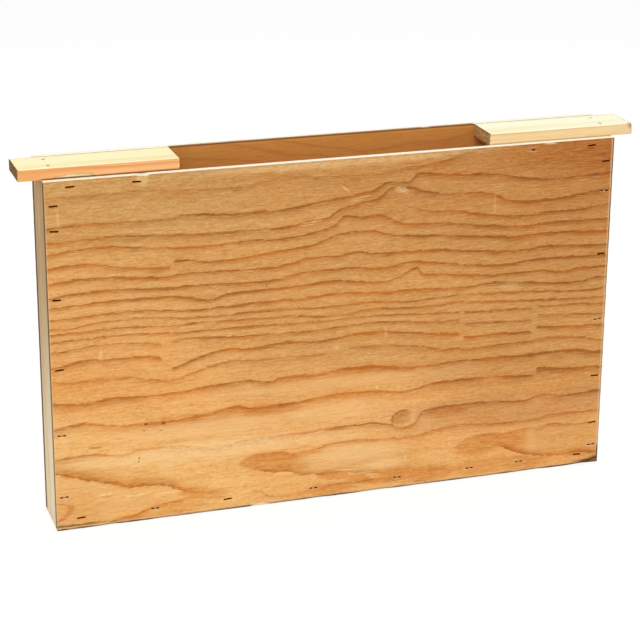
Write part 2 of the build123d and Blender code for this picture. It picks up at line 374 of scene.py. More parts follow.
plyShares = (0.31, 0.69)  # of the thickness, to the two glue lines
plySheet = {
    "halfLength": 223.85, "length": 447.7, "thickness": 6.35, "mouthHalf": 121.85,
    "outside": 23,  # from the middle of the body to the face
    "span": 450, "tall": 280,  # the growth lines are drawn in a box of this size
    "figureTop": 273,
    "seams": (355.4, 31),  # middle and half length of a patch of the figure
    "knot": (276.5, 59, 9, 6.6, 8),
    "early": [(0, paint(255, 205, 133)), (0.25, paint(249, 189, 118)), (0.5, paint(227, 171, 104)),
              (0.75, paint(213, 155, 90)), (1, paint(194, 126, 62))],
    "lateBrown": (0.6, 0.4, 0.19, 1), "lateOrange": (0.78, 0.5, 0.23, 1),
    # tints, multiplied in
    "pool": (0.82, 0.62, 0.4, 1), "streak": (0.74, 0.62, 0.44, 1), "hue": (1, 0.94, 0.82, 1),
    "grey": (0.91, 0.97, 1, 1), "tongue": (0.9, 0.87, 0.84, 1), "dull": (0.89, 0.9, 0.98, 1),
    "tip": (0.84, 0.58, 0.42, 1), "knotWood": (0.6, 0.4, 0.22, 1), "spot": (0.36, 0.2, 0.09, 1),
    "arris": (0.45, 0.36, 0.26, 1), "rust": (1, 0.66, 0.36, 1),
    "paleWood": paint(255, 220, 160), "worn": paint(240, 210, 166), "soil": paint(84, 52, 18), "pit": paint(46, 19, 3),
    "sawnTop": paint(255, 247, 226), "sawnTopLate": paint(244, 230, 204), "sawnTopGlue": paint(190, 156, 116),
    "rubbed": paint(150, 104, 54), "sawnLow": paint(214, 180, 134), "sawnLowLate": paint(150, 108, 66),
    "endDark": paint(96, 66, 36), "endCore": paint(124, 90, 54), "endFuzz": paint(202, 171, 130),
    "endLow": paint(222, 196, 158), "glue": paint(86, 58, 38),
    "inside": paint(219, 149, 74), "insideLate": paint(166, 92, 34),
}


def spotAway(place, x, z, wide, tall, tilt=0):  # distance from a spot, 1 at its rim
    cosine, sine = math.cos(math.radians(tilt)), math.sin(math.radians(tilt))
    squares = None
    for across, up, half in ((cosine, sine, wide), (-sine, cosine, tall)):
        way = {0: place, 1: (across / half, 0, up / half)}
        part = place.node("VectorMath", way, out="Value", operation="DOT_PRODUCT") - (x * across + z * up) / half
        squares = part * part if squares is None else part.maths("MULTIPLY_ADD", part, part, squares)
    return squares ** 0.5


def allSpots(place, feather, spots):
    total = None
    for x, z, wide, tall, strength, *tilt in spots:
        mask = ease(spotAway(place, x, z, wide, tall, *tilt) + feather, 1.15, 0.45) * strength
        total = mask if total is None else most(total, mask)
    return total


def ringTone(along, level, rag, u, s):  # darkness of the growth lines, and the distance below each, in mm
    tone = None
    gaps = {}
    depth = 0 - level
    for name, (strength, reach, points, *ends) in ringLines.items():
        rise, fall = ends or (None, None)
        knots = [(px / s["span"], pz / s["tall"]) for px, pz in points]
        line = curve(along, knots)
        gap = line.maths("MULTIPLY_ADD", line, s["tall"], depth) * rag
        share = gap.maths("MULTIPLY_ADD", gap, 1 / (1.2 * reach), 1 / 6)
        band = curve(share, ringProfile)
        if rise:
            band = band * ease(u, *rise)
        if fall:
            band = band * ease(u, fall[1], fall[0])
        tone = band * strength if tone is None else band.maths("MULTIPLY_ADD", band, strength, tone)
        gaps[name] = gap
    return tone, gaps


def between(upper, lower, soft):  # inside a tongue of the figure
    return ease(upper, 0, soft) * ease(lower, 0, -soft)


def plyFinish(name, s, side, top, flipped):
    material, place, shader = startFinish(name)
    x, y, z = axes(place)
    # u runs from the left end of the figure and v up it; the back sheet has its figure upside down
    u = x * side + s["halfLength"]
    v = top - z if flipped else z
    uv = u.node("CombineXYZ", {0: u, 1: y, 2: v})
    wobble = (fibre(uv, (0.02, 0.02, 0.05), 2) - 0.5) * 1.6
    feather = fibre(uv, (0.07, 0.3, 0.9), 3, 0.65) - 0.5
    ragged = fibre(uv, (0.11, 0.2, 0.2), 2, 0.6, (7, 3, 1)) - 0.5
    along = (u + wobble * 1.5) / s["span"]
    hair = fibre(uv, (0.36, 0.5, 1.2), 3, 0.65, (8, 1, 6))
    grit = fibre(uv, (0.25, 0.5, 0.9), 2, 0.6, (4, 8, 2)) - 0.5
    # a patch of the figure between two seams is out of line with the rest
    patch = curve(v / s["tall"], [
        (0.373, 0), (0.4, 0.3), (0.438, 0.76), (0.465, 0.8), (0.49, 0.35), (0.515, 0.1), (0.54, 0)])
    seamMiddle, seamHalf = s["seams"]
    seam = abs(u - seamMiddle + ragged * 2) - seamHalf
    patch *= ease(seam, 1, -1)
    level = v + patch * 5 + wobble + feather * 3 + ragged * 1.8 + grit * 2.6 + ringDrop
    rag = hair * 0.9 + grit + 0.55
    tone, gaps = ringTone(along, level, rag, u, s)
    patchy = fibre(uv, (0.03, 0.05, 0.06), 3, 0.55, (31, 7, 3))
    streak = fibre(uv, (0.07, 0.3, 1.5), 4, 0.65, (2, 9, 4))
    tone = tone * (0.3 + ease(patchy, 0.3, 0.7) * 0.75 + ease(streak, 0.3, 0.62) * 0.4 + ease(hair, 0.36, 0.64) * 0.25)
    # short breaks, where the figure is out of line
    breaks = most(ease(abs(u - 87.5), 5.2, 2.8), ease(abs(seam), 3.6, 0.8)) * ease(abs(v - 129), 18, 14)
    breaks = most(breaks, ease(abs(u - 93.2), 2.2, 1) * ease(abs(v - 205.5), 6, 4.5))
    breaks = most(breaks, ease(abs(u - 387.5), 3.4, 1.2) * ease(abs(v - 87), 5, 3.5))
    tone = tone * (1 - breaks * 0.88)

    lengthShare = u / s["length"]
    heightShare = v / s["figureTop"]
    drift = fibre(uv, (0.008, 0.05, 0.016), 2, 0.5, (5, 3, 11)) - 0.5
    climb = curve(heightShare, [(0, 0), (0.1, 0.04), (0.24, 0.19), (0.36, 0.4), (0.5, 0.55), (1, 1)])
    brown = climb * 0.5 + lengthShare * 0.26 + lengthShare * climb * 0.24 + drift * 0.3
    colour = Coat(brown.node("ValToRGB", {0: brown}, stops=s["early"]), s)
    hue = fibre(uv, (0.02, 0.1, 0.06), 2, 0.5, (13, 2, 8))
    colour.tint(ease(hue, 0.35, 0.7) * 0.7, "hue")
    broad = fibre(uv, (0.02, 0.2, 0.3), 2, 0.5, (1, 5, 17))
    colour.tint(ease(broad, 0.4, 0.7) * 0.25, "streak")
    calm = climb * 0.35 + 0.65
    colour.tint(ease(streak, 0.42, 0.72) * calm * 0.62, "streak")
    colour.tint(ease(hair, 0.5, 0.7) * 0.6, "streak")
    colour.tint(ease(grit, -0.2, 0.2) * calm * 0.34, "streak")
    colour.tint(ease(feather, -0.05, 0.2) * calm * 0.28, "streak")
    colour.lay(ease(streak, 0.46, 0.25) * 0.35, "paleWood")
    colour.lay(ease(hair, 0.44, 0.28) * (0.6 - brown * 0.5), "paleWood")
    # greyer along the top, to the left
    colour.tint(ease(u, 270, 60) * ease(v, 185, 262), "grey")

    late = blend(ease(hue + grit * 0.3, 0.42, 0.6), s["lateBrown"], s["lateOrange"])
    colour.tint(tone * (brown * 0.5 + 1.26), late)
    flames = between(gaps["flameTop"], gaps["flameLow"], 2) * ease(u + feather * 14, 138, 146)
    flames *= ease(u + feather * 16, 204, 180)
    tongue = between(gaps["tongueTop"], gaps["tongueLow"], 2) * ease(u + feather * 14, 316, 324)
    tongue *= ease(u, 396, 366)
    # the tip of a ring that comes in over the left edge
    rise = most((v - 18.3) * 3, 18.3 - v)
    inTip = rise.maths("MULTIPLY_ADD", rise * rise, -0.09, 13.4 - u) + feather * 5
    tip = ease(abs(inTip - 2), 4, 1) * (0.95 + grit * 0.8)
    pools = most(most(flames, tongue), allSpots(uv, feather * 1.4, orangePools))
    pools = most(ease(inTip, 0, 3) * 0.6, pools * (0.5 + ease(streak, 0.3, 0.6) * 0.5 + grit * 0.6))
    # plainer, duller wood inside the two tongues, past their dark tips
    inside = between(gaps["flameTop"], gaps["flameLow"], 3) * ease(u + feather * 16, 180, 200) * ease(u, 306, 280)
    inside = most(inside, between(gaps["tongueTop"], gaps["tongueLow"], 3) * ease(u, 372, 392))
    colour.tint(inside * 0.5, "tongue")
    colour.tint(ease(u, 236, 300) * ease(abs(v - 56), 20, 8), "dull")
    colour.tint(pools, "pool")
    if not flipped:
        colour.tint(tip, "tip")
    wedge = between(gaps["sweep"], gaps["wedge"], 3) * ease(u, 112, 96)
    pale = most(allSpots(uv, feather * 1.5, paleSpots), wedge * 0.2)
    colour.lay(pale * (0.3 + ease(hair, 0.4, 0.62) * 0.6), "paleWood")

    if not flipped:
        # the knot: mottled wood, darkest to the left, with a faint pale fold to the right of it
        knot = spotAway(uv, *s["knot"]) + feather * 0.9
        beside = u - v * 1.2 - 205.7
        rim = ease(abs(knot - 0.92), 0.22, 0.05) * ease(beside, 1, -7)
        core = ease(knot, 1.02, 0.7) * (0.3 + ease(streak, 0.38, 0.62) * 0.5) * ease(beside, 13, -4)
        colour.tint(most(rim, core), "knotWood")
        fold = ease(abs(knot - 1.08), 0.14, 0.04) * ease(beside, 2, 9)
        colour.lay(fold * 0.22, "paleWood")
        dark = allSpots(uv, feather * 1.2, darkSpots)
        colour.tint(dark, "spot")

    # worn arrises, grime along the bottom and in the low corners, painted shade along the right and bottom edges and
    # along the top of the inner face, crushed or rusty wood round the staples
    rightGap = s["length"] - u
    topGap = top - z
    colour.lay(ease(u + feather * 2.2, 1, 0.2) * 0.35, "worn")
    colour.lay(ease(abs(rightGap - 1.5 + feather * 1.6), 1, 0.3) * 0.4, "worn")
    colour.tint(ease(topGap + feather * 2, 2, 0.8) * 0.25, "arris")
    grimeLine = ease(abs(z - 3 + feather * 5), 1.3, 0.4) * ease(u + feather * 30, 52, 18)
    grimeLine *= ease(streak, 0.34, 0.5)
    crumbs = ease(streak, 0.54, 0.66) * ease(z + feather * 5, 5, 2) * ease(broad, 0.45, 0.6)
    stain = ease(z + feather * 5 + rightGap * 0.2, 7.4, 4.6) * ease(rightGap, 32, 14)
    corner = ease(rightGap + feather * 1.2, 2.1, 0.9) * ease(z, 18, 11)
    stain = most(stain * (0.5 + ease(streak, 0.36, 0.54) * 0.6), corner)
    colour.lay(ease(z + feather * 2, 2.4, 1.2) * 0.55, "worn")
    colour.lay(most(most(grimeLine * 0.9, crumbs * 0.7), stain * 0.92), "soil")
    # painted shade: dark lines along the right edge and along the bottom edge
    rightLine = ease(rightGap + feather * 0.5, 1.2, 0.5) * (0.25 + ease(z, 120, 230) * 0.65)
    outline = most(rightLine, ease(z + feather * 1.6, 1.7, 0.7) * (0.6 + ease(patchy, 0.4, 0.6) * 0.4))
    colour.lay(outline, "soil")
    chips = most(ease(spotAway(uv, 74, 273.3, 6, 1.1) + feather * 2.4, 1.1, 0.6),
                 ease(spotAway(uv, 160, 0.4, 8, 1.3) + feather * 1.6, 1.1, 0.7))
    chips = most(chips, ease(spotAway(uv, 394, 272.6, 5.5, 0.7) + feather * 2, 1.1, 0.6) * 0.6)
    colour.lay(chips * 0.75, "sawnTop")
    torn = mark("torn", place)
    colour.lay(ease(torn + feather * 0.8, 0.3, 0.95) * 0.4, "worn")
    colour.tint(ease(torn + feather * 0.3, -0.5, -1) * 0.85, "rust")

    # sawn edges: three plies with the middle one across, then the inner face
    depth = s["outside"] - abs(y)
    outerPly, innerPly = (s["thickness"] * share for share in plyShares)
    core = ease(depth, outerPly - 0.12, outerPly + 0.12) * ease(depth, innerPly + 0.12, innerPly - 0.12)
    glue = ease(least(abs(depth - outerPly), abs(depth - innerPly)), 0.35, 0.1)
    endFuzz = fibre(place, (0.4, 2.2, 0.1), 3, 0.65)
    cut = Coat(blend(core, s["endDark"], s["endCore"]), s)
    cut.lay(ease(endFuzz, 0.4, 0.7) * 0.45, "endFuzz")
    cut.lay(ease(z, 170, 30) * 0.45, "endLow")
    cut.lay(glue * 0.8, "glue")
    if flipped:
        cut.lay(0.6, "endDark")
    topFuzz = fibre(place, (0.05, 1.4, 0.4), 3, 0.6)
    topCut = Coat(blend(ease(topFuzz, 0.5, 0.75) * 0.2, s["sawnTop"], s["sawnTopLate"]), s)
    topCut.lay(glue * 0.1, "sawnTopGlue")
    if flipped:  # the back sheet's top is darker on its inner part along the mouth
        mouth = ease(abs(x), s["mouthHalf"] + 0.5, s["mouthHalf"] - 0.5)
        rubbed = ease(depth + (topFuzz - 0.5) * 1.2, 2, 3) * mouth
        topCut.lay(rubbed * 0.9, "rubbed")
    lowCut = Coat(blend(ease(topFuzz, 0.4, 0.7), s["sawnLow"], s["sawnLowLate"]), s)
    lowCut.lay(glue * 0.6, "glue")
    pale = 8 if flipped else 1  # the end of the back sheet is pale where it stands behind the bar
    cut.lay(ease(topGap, pale, pale - 0.5), topCut)
    cut.lay(ease(z, 1.2, 0.5), lowCut)
    overTop = ease(topGap, 1, 0.5) * 0.45 if flipped else 0
    colour.lay(ease(depth + overTop, 0.3, 0.55), cut)
    turns = z * 0.075 + (fibre(place, (0.006, 0.4, 0.02), 2, 0.5, (3, 0, 9)) - 0.5) * 7
    innerTone = curve(turns.maths("FRACT", turns), [(0, 0.15), (0.55, 0.1), (0.9, 0.9), (0.97, 1), (1, 0.15)])
    inner = Coat(blend(innerTone * 0.26, s["inside"], s["insideLate"]), s)
    inner.tint(ease(streak, 0.42, 0.72) * 0.6, "streak")
    inner.tint(ease(hair, 0.52, 0.75) * 0.4, "streak")
    # painted shade along the top of the inner face
    inner.lay(ease(topGap, 1.3, 0.5) * 0.8, "soil")
    colour.lay(ease(depth, s["thickness"] - 0.5, s["thickness"] - 0.2), inner)
    pit = mark("pit", place)
    colour.lay(pit, "pit")

    rough = 0.68 - least(tone, 1) * 0.12 + (streak - 0.5) * 0.2 + pit * 0.2
    relief = streak * 0.8 + hair * 0.5 + patchy * 0.6
    endFinish(shader, colour, rough, relief, 0.18, 0.8)
    return material


frontPly = plyFinish("firPlyFront", plySheet, 1, 273.3, False)
backPly = plyFinish("firPlyBack", plySheet, -1, 282, True)
print("plywood mixed")

# Pine: solid wood with rings round a pith that lies outside the piece

pineBar = {"axis": 0, "sheen": 0.03, "half": 59.72, "topAt": 282, "seamLineAt": 273.7, "seamLineTo": 223.9}
# painted light: each bar's top colours are far paler than its sides, as where light falls from above
pineBars = {
    "left": {
        **pineBar, "pith": (6, 225), "spacing": 4.6, "middle": -181.6, "seamDirtAndShade": 0.85,
        "wood": paint(248, 192, 132), "late": paint(228, 152, 92), "top": paint(255, 247, 200),
        "topLate": paint(240, 214, 150), "end": paint(162, 120, 72), "endLate": paint(60, 34, 14),
        "ruddy": paint(240, 168, 96), "ruddyFrom": -190, "ruddyTo": -226,
    },
    "right": {
        **pineBar, "pith": (-9, 215), "spacing": 5.2, "middle": 181.6, "seamDirtAndShade": 0.3,
        "wood": paint(245, 216, 164), "late": paint(228, 180, 120), "top": paint(255, 253, 222),
        "topLate": paint(248, 234, 184), "end": paint(236, 188, 122), "endLate": paint(116, 78, 44),
    },
}
pinePosts = {
    "axis": 2, "pith": (0, -40), "spacing": 4, "middle": 136.25, "half": 136.25,
    "wood": paint(254, 234, 196), "late": paint(236, 202, 154),
    "end": paint(190, 150, 104), "endLate": paint(140, 100, 62),
    "weathered": paint(184, 149, 98), "weather": (0.8, 0.72, 0.62, 1), "weatherFrom": 20, "weatherTo": 230,
}
# painted light: the cleats are painted brighter than the other inner pine, so that they stay light in the shade under
# the bars
pineCleatsPaintedBright = {
    "axis": 0, "pith": (4, 230), "spacing": 4.4, "middle": 0, "half": 131.8,
    "wood": paint(250, 190, 110), "late": paint(222, 148, 74),
    "end": paint(252, 188, 100), "endLate": paint(206, 136, 62),
}
pineInner = {
    "axis": 0, "pith": (10, -30), "spacing": 4.4, "wood": paint(222, 172, 112), "late": paint(190, 132, 76),
}
pineWear = {
    "tornPale": paint(240, 220, 172), "tornDark": paint(194, 144, 88), "tornRim": paint(150, 92, 44),
    "dirt": paint(112, 84, 54), "arrisDirt": paint(110, 84, 48), "knocked": paint(150, 88, 40),
}


def pineFinish(name, piece):
    s = {**pineWear, **piece}
    material, place, shader = startFinish(name)
    parts = axes(place)
    run, z = parts[s["axis"]], parts[2]
    across, rise = [parts[axis] for axis in range(3) if axis != s["axis"]]
    stretch = [0.11, 0.11, 0.11]
    stretch[s["axis"]] = 0.006
    fine = [1.5, 1.5, 1.5]
    fine[s["axis"]] = 0.05
    bend = (fibre(place, stretch, 2, 0.5) - 0.5) * 9
    dx, dz = across - s["pith"][0], rise - s["pith"][1]
    turns = ((dx * dx + dz * dz) ** 0.5 + bend) / s["spacing"]
    tone = curve(turns.maths("FRACT", turns), [(0, 0.1), (0.5, 0.12), (0.84, 0.75), (0.94, 1), (1, 0.1)])
    streak = fibre(place, fine, 3, 0.6)
    patchy = fibre(place, [part * 0.35 for part in stretch], 2, 0.5, (9, 4, 2))
    tone = tone * (0.2 + ease(patchy, 0.3, 0.7) * 1.1)
    colour = Coat(blend(tone * 0.8, s["wood"], s["late"]), s)
    colour.lay(ease(streak, 0.48, 0.78) * 0.5, "late")
    if "ruddy" in s:
        colour.lay(ease(run + (patchy - 0.5) * 40, s["ruddyFrom"], s["ruddyTo"]) * 0.65, "ruddy")
    if "weathered" in s:
        age = ease(z + (patchy - 0.5) * 90, s["weatherFrom"], s["weatherTo"])
        colour.lay(age * 0.95, blend(tone * 0.35, s["weathered"], s["late"]))
        colour.tint(ease(streak, 0.48, 0.75) * 0.35, "weather")
    nick = (streak - 0.5) * 1.6
    # painted light: the top face is laid in the paler top colours, as lit from above
    if "topAt" in s:
        topGap = s["topAt"] - z
        top = Coat(blend(tone * 0.6, s["top"], s["topLate"]), s)
        top.lay(ease(streak, 0.5, 0.78) * 0.4, "topLate")
        colour.lay(ease(topGap - nick, 1.5, 0.7) * 0.5, "late")
        colour.lay(ease(topGap, 0.55, 0.25), top)
    pores = fibre(place, (0.9, 0.9, 0.9), 3, 0.7, (6, 6, 6))
    if "end" in s:
        endGap = s["half"] - abs(run - s["middle"])
        end = blend(tone * 0.4 + ease(pores, 0.42, 0.6) * 0.8, s["end"], s["endLate"])
        colour.lay(ease(endGap, 0.45, 0.2), end)
    torn = mark("torn", place)
    rip = torn + (streak - 0.5) * 1.2
    fibres = blend(ease(streak + (pores - 0.5) * 0.5, 0.48, 0.62) * 0.7, s["tornPale"], s["tornDark"])
    colour.lay(ease(rip, 0.25, 0.6) * 0.9, fibres)
    colour.lay(ease(abs(rip - 0.3), 0.28, 0.1) * ease(torn, 0.02, 0.1) * 0.5, "tornRim")
    if "seamLineAt" in s:
        # dirt in the joint and painted shade: a dark line on the near side of the bar, just above the front sheet's
        # top
        seamDirtAndShade = ease(z + nick * 0.6 - s["seamLineAt"], 0.8, 0.3) * ease(abs(run), s["seamLineTo"], s["seamLineTo"] - 0.5)
        colour.lay(seamDirtAndShade * s["seamDirtAndShade"], "dirt")
        # darker lines on the top arrises along the back and at the two ends
        backLine = ease(across, 15.9, 16.4) * ease(patchy, 0.42, 0.55) * 0.6
        endLine = ease(endGap, 0.9, 0.35) * 0.7
        colour.lay(most(backLine, endLine) * ease(topGap, 1.1, 0.5), "arrisDirt")
    colour.lay(mark("pit", place), "knocked")
    rough = 0.68 - least(tone, 1) * 0.08 + (streak - 0.5) * 0.18
    endFinish(shader, colour, rough, tone * 0.4 + streak * 0.6 + pores * 0.25, 0.18, 0.8, s.get("sheen", 0.15))
    return material


barPine = {side: pineFinish(f"barPine_{side}", s) for side, s in pineBars.items()}
postPine = pineFinish("postPine", pinePosts)
innerPine = pineFinish("innerPine", pineInner)
cleatPinePaintedBright = pineFinish("cleatPinePaintedBright", pineCleatsPaintedBright)

wireTones = {"steel": paint(56, 20, 3), "tarnish": paint(24, 8, 1), "dusted": paint(196, 146, 90)}
hiddenMiddles = [  # along and up, in mm
    (6.3, 78), (6.3, 27), (441, 231), (441, 125), (441, 16), (76, 8.7), (203, 8.7), (272, 8.7), (334, 8.7), (377, 8.7)]
hiddenEnds = [(379, 268.5)]


def wireFinish(name, s):
    material, place, shader = startFinish(name)
    spots = fibre(place, (0.9, 0.9, 0.9), 3, 0.6)
    stain = ease(spots, 0.36, 0.58)
    colour = Coat(blend(stain, s["steel"], s["tarnish"]), s)
    # some crowns are half hidden by pale splinters that lie across their middle or their ends
    across = abs(mark("fromMiddle", place)) + (spots - 0.5) * 0.5
    dust = mark("hidMiddle", place) * ease(across, 0.44, 0.24) + mark("hidEnds", place) * ease(across, 0.35, 0.55)
    colour.lay(dust, "dusted")
    rough = stain * 0.2 + 0.5
    metal = (1 - stain * 0.7) * (1 - dust) * 0.04
    colour.tree.links.new(metal.socket, shader.inputs["Metallic"])
    endFinish(shader, colour, rough, spots, 0.05, 0.6, 0.03)
    return material


stapleSteel = wireFinish("stapleSteel", wireTones)
print("pine and wire mixed")

smoothBelow = 32  # degrees between faces
wearNames = ("torn", "pit")
stapleRows = ("left", "right", "bottom", "top")


def linkPiece(bm, name, material, body, slot, *replaced):
    bmesh.ops.recalc_face_normals(bm, faces=bm.faces)
    mesh = bpy.data.meshes.new(name)
    bm.to_mesh(mesh)
    bm.free()
    mesh.polygons.foreach_set("use_smooth", [True] * len(mesh.polygons))
    mesh.set_sharp_from_angle(angle=math.radians(smoothBelow))
    mesh.materials.append(material)
    piece = linkObject(name, mesh)
    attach(piece, body)
    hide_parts(*replaced)


def newShape(node=None):  # empty, or a CAD solid with its loose triangles joined
    bm = bmesh.new()
    if node:
        bm.from_mesh(nodes[node].data)
        bmesh.ops.remove_doubles(bm, verts=bm.verts, dist=touching)
    for name in wearNames:
        bm.verts.layers.float.new(name)
    return bm


def wearOf(bm):
    return [bm.verts.layers.float[name] for name in wearNames]


def cutAcross(bm, axis, places):
    normal = Vector((0, 0, 0))
    normal[axis] = 1
    for place in places:
        geom = bm.verts[:] + bm.edges[:] + bm.faces[:]
        bmesh.ops.bisect_plane(bm, geom=geom, plane_co=normal * place, plane_no=normal, dist=hairline)


def steps(low, high, pitch):
    count = max(1, round((high - low) / pitch))
    return [low + (high - low) * number / count for number in range(1, count)]


def sharpEdges(bm, degrees=50):
    return [edge for edge in bm.edges if len(edge.link_faces) == 2
            and edge.calc_face_angle(0) > math.radians(degrees)]


def softenEdges(bm, edges, offset):
    bmesh.ops.bevel(bm, geom=edges, offset=offset * mm, offset_type="OFFSET", affect="EDGES", segments=2,
                    profile=0.5, material=-1, clamp_overlap=True)


def softCopy(node, arris, flat, sharp):  # a CAD solid with its sharp edges rounded
    bm = newShape(node)
    bmesh.ops.dissolve_limit(bm, angle_limit=math.radians(flat), verts=bm.verts, edges=bm.edges)
    softenEdges(bm, sharpEdges(bm, sharp), arris)
    return bm


def roughen(bm, amount, scale, seed):  # pulls the surface in a little here and there
    bm.normal_update()
    moves = []
    for vert in bm.verts:
        ripple = noise.noise(vert.co * scale + Vector((seed, seed, seed)))
        moves.append(vert.normal * (-amount * (0.5 + 0.5 * ripple)))
    for vert, move in zip(bm.verts, moves):
        vert.co += move


def islands(bm):  # the separate solids of a group
    seen = set()
    found = []
    for start in bm.verts:
        if start in seen:
            continue
        seen.add(start)
        group = [start]
        for vert in group:
            fresh = [other for edge in vert.link_edges if (other := edge.other_vert(vert)) not in seen]
            seen.update(fresh)
            group += fresh
        found.append(group)
    return found


def stapleSpots(face):  # middle of each crown, and the way that it runs
    spots = []
    for row in stapleRows:
        bm = newShape(f"{face}_{row}_staples")
        for group in islands(bm):
            middle = (min(v.co.x for v in group) + max(v.co.x for v in group)) / 2
            rise = (min(v.co.z for v in group) + max(v.co.z for v in group)) / 2
            high = max(group, key=lambda v: v.co.x)
            ends = [v for v in group if abs(v.co.x - high.co.x) < nearFace]
            lift = sum(v.co.z for v in ends) / len(ends) - rise
            spots.append((Vector((middle, 0, rise)), Vector((high.co.x - middle, 0, lift)).normalized()))
        bm.free()
    return spots


boards = {  # notch: place, half width and depth of a dent in the top edge
    "front": {"node": "front_panel", "material": frontPly, "seed": 3.7, "notch": (-151, 5, 0.4)},
    "back": {"node": "back_panel", "material": backPly, "seed": 9.2, "notch": (83, 2.4, 0.6)},
}
boardShape = {
    "columns": 150, "rows": 72, "crowding": 0.06, "coreRecess": 0.22, "coreLean": 0.05, "arris": 0.3, "faceBack": 0.06,
    "slot": (3.27, 0.68), "halo": (1.4, 1.2), "pocketDepth": 1.46, "lipSink": 0.14, "lipWide": 0.06, "wallLean": 0.02,
    "chipTop": 0.22, "chipLow": 0.6, "chipEnd": 0.25, "tornDeep": 2.5,
}
pocketReach = 0.012  # m
spotReach = 6  # mm


def nearSpot(spot, place):  # a point in metres, and one along and up the front in mm
    return math.hypot(spot.x / mm + plySheet["halfLength"] - place[0], spot.z / mm - place[1]) < spotReach


def cutStaplePockets(bm, s, face, outer):
    torn, pit = wearOf(bm)
    halfWide, halfTall = (part * mm for part in s["slot"])
    haloWide, haloTall = (part * mm for part in s["halo"])
    for spot, level in stapleSpots(face):
        up = Vector((-level.z, 0, level.x))
        hidden = any(nearSpot(spot, place) for place in hiddenMiddles + hiddenEnds)
        for direction, offsets in ((level, (halfWide, halfWide + haloWide)), (up, (halfTall, halfTall + haloTall))):
            for offset in offsets:
                for sign in (-1, 1):
                    near = [f for f in bm.faces if abs(f.calc_center_median().y - outer) < nearFace
                            and (f.calc_center_median() - spot).xz.length < pocketReach]
                    geom = list(dict.fromkeys(part for f in near for part in (*f.verts, *f.edges))) + near
                    bmesh.ops.bisect_plane(bm, geom=geom, plane_co=spot + direction * (offset * sign),
                                           plane_no=direction, dist=hairline)
        slotFaces = []
        for f in bm.faces:
            away = f.calc_center_median() - spot
            if abs(away.y - outer) < nearFace and abs(away.dot(level)) < halfWide and abs(away.dot(up)) < halfTall:
                slotFaces.append(f)
        for vert in {v for f in slotFaces for v in f.verts}:  # crushed most below the crown, or rusty if negative
            crushed = 1 if (vert.co - spot).dot(up) < 0 else 0.45
            vert[torn] = crushed if hidden else -1
        bmesh.ops.inset_region(bm, faces=slotFaces, thickness=s["lipWide"] * mm, depth=0, use_boundary=True)
        lip = {v for f in slotFaces for v in f.verts if any(other not in slotFaces for other in v.link_faces)}
        bmesh.ops.inset_region(bm, faces=slotFaces, thickness=s["wallLean"] * mm, depth=0, use_boundary=True)
        inward = Vector((0, -math.copysign(1, outer), 0))
        for vert in lip:
            vert.co += inward * (s["lipSink"] * mm)
        for vert in {v for f in slotFaces for v in f.verts}:
            vert.co += inward * (s["pocketDepth"] * mm)
            vert[pit] = 0.5 if hidden else 1


def addBoard(face, s):
    low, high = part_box(s["node"])
    sign = -1 if face == "front" else 1
    outer = (low.y if sign < 0 else high.y) - sign * s["faceBack"] * mm
    inner = high.y if sign < 0 else low.y
    thick = inner - outer
    length, tall = high.x - low.x, high.z - low.z
    bm = newShape()
    bmesh.ops.create_grid(bm, x_segments=s["columns"], y_segments=s["rows"], size=0.5)
    crowding = s["crowding"]
    for vert in bm.verts:  # rows and columns crowd a little towards the edges
        share = Vector((vert.co.x * 2, vert.co.y * 2))
        share = Vector([part * (1 + crowding - crowding * part * part) for part in share])
        vert.co = Vector((share.x * length / 2, outer, low.z + (share.y + 1) * tall / 2))
    sheet = bm.faces[:]
    for share in (*plyShares, 1):  # outer veneer, core, inner veneer
        grown = bmesh.ops.extrude_face_region(bm, geom=sheet)["geom"]
        sheet = [part for part in grown if isinstance(part, bmesh.types.BMFace)]
        for vert in {v for f in sheet for v in f.verts}:
            vert.co.y = outer + thick * share
    bmesh.ops.recalc_face_normals(bm, faces=bm.faces)

    cutStaplePockets(bm, s, face, outer)

    # splintered edges, worst along the bottom
    for vert in bm.verts:
        co = vert.co.copy()
        ripple = noise.noise(Vector((co.x * 260, co.y * 420, co.z * 260 + s["seed"])))
        tear = max(0, noise.noise(Vector((co.x * 55, co.y * 160, co.z * 30 + s["seed"] * 2))) - 0.12)
        bite = 0.35 + 0.35 * ripple
        if co.z > high.z - touching:
            place, wide, sink = (part * mm for part in s["notch"])
            dent = max(0, 1 - ((co.x - place) / wide) ** 2)
            vert.co.z -= s["chipTop"] * mm * bite + sink * dent
        if co.z < low.z + touching:
            share = 1 if abs(co.y - outer) < s["tornDeep"] * mm else 0.3
            vert.co.z += s["chipLow"] * mm * (bite * 0.35 + tear * 1.6) * share
        if co.x < low.x + touching:
            vert.co.x += s["chipEnd"] * mm * bite
        if co.x > high.x - touching:
            vert.co.x -= s["chipEnd"] * mm * bite
    rimFaces = []
    coreLow, coreHigh = sorted(outer + thick * share for share in plyShares)
    for f in bm.faces:
        middle = f.calc_center_median()
        if coreLow < middle.y < coreHigh and abs(f.normal.y) < 0.5 and all(
                coreLow - touching < v.co.y < coreHigh + touching for v in f.verts):
            rimFaces.append(f)
    bmesh.ops.inset_region(bm, faces=rimFaces, thickness=s["coreLean"] * mm, depth=-s["coreRecess"] * mm,
                           use_boundary=True, use_even_offset=True)
    pit = wearOf(bm)[1]
    arrises = [edge for edge in sharpEdges(bm) if all(
        min(abs(v.co.y - outer), abs(v.co.y - inner)) < onFace and v[pit] <= 0.5 for v in edge.verts)]
    softenEdges(bm, arrises, s["arris"])
    linkPiece(bm, f"{face}Sheet", s["material"], "tank", "plywood", s["node"])


for face, s in boards.items():
    addBoard(face, {**boardShape, **s})
print("sheets built")

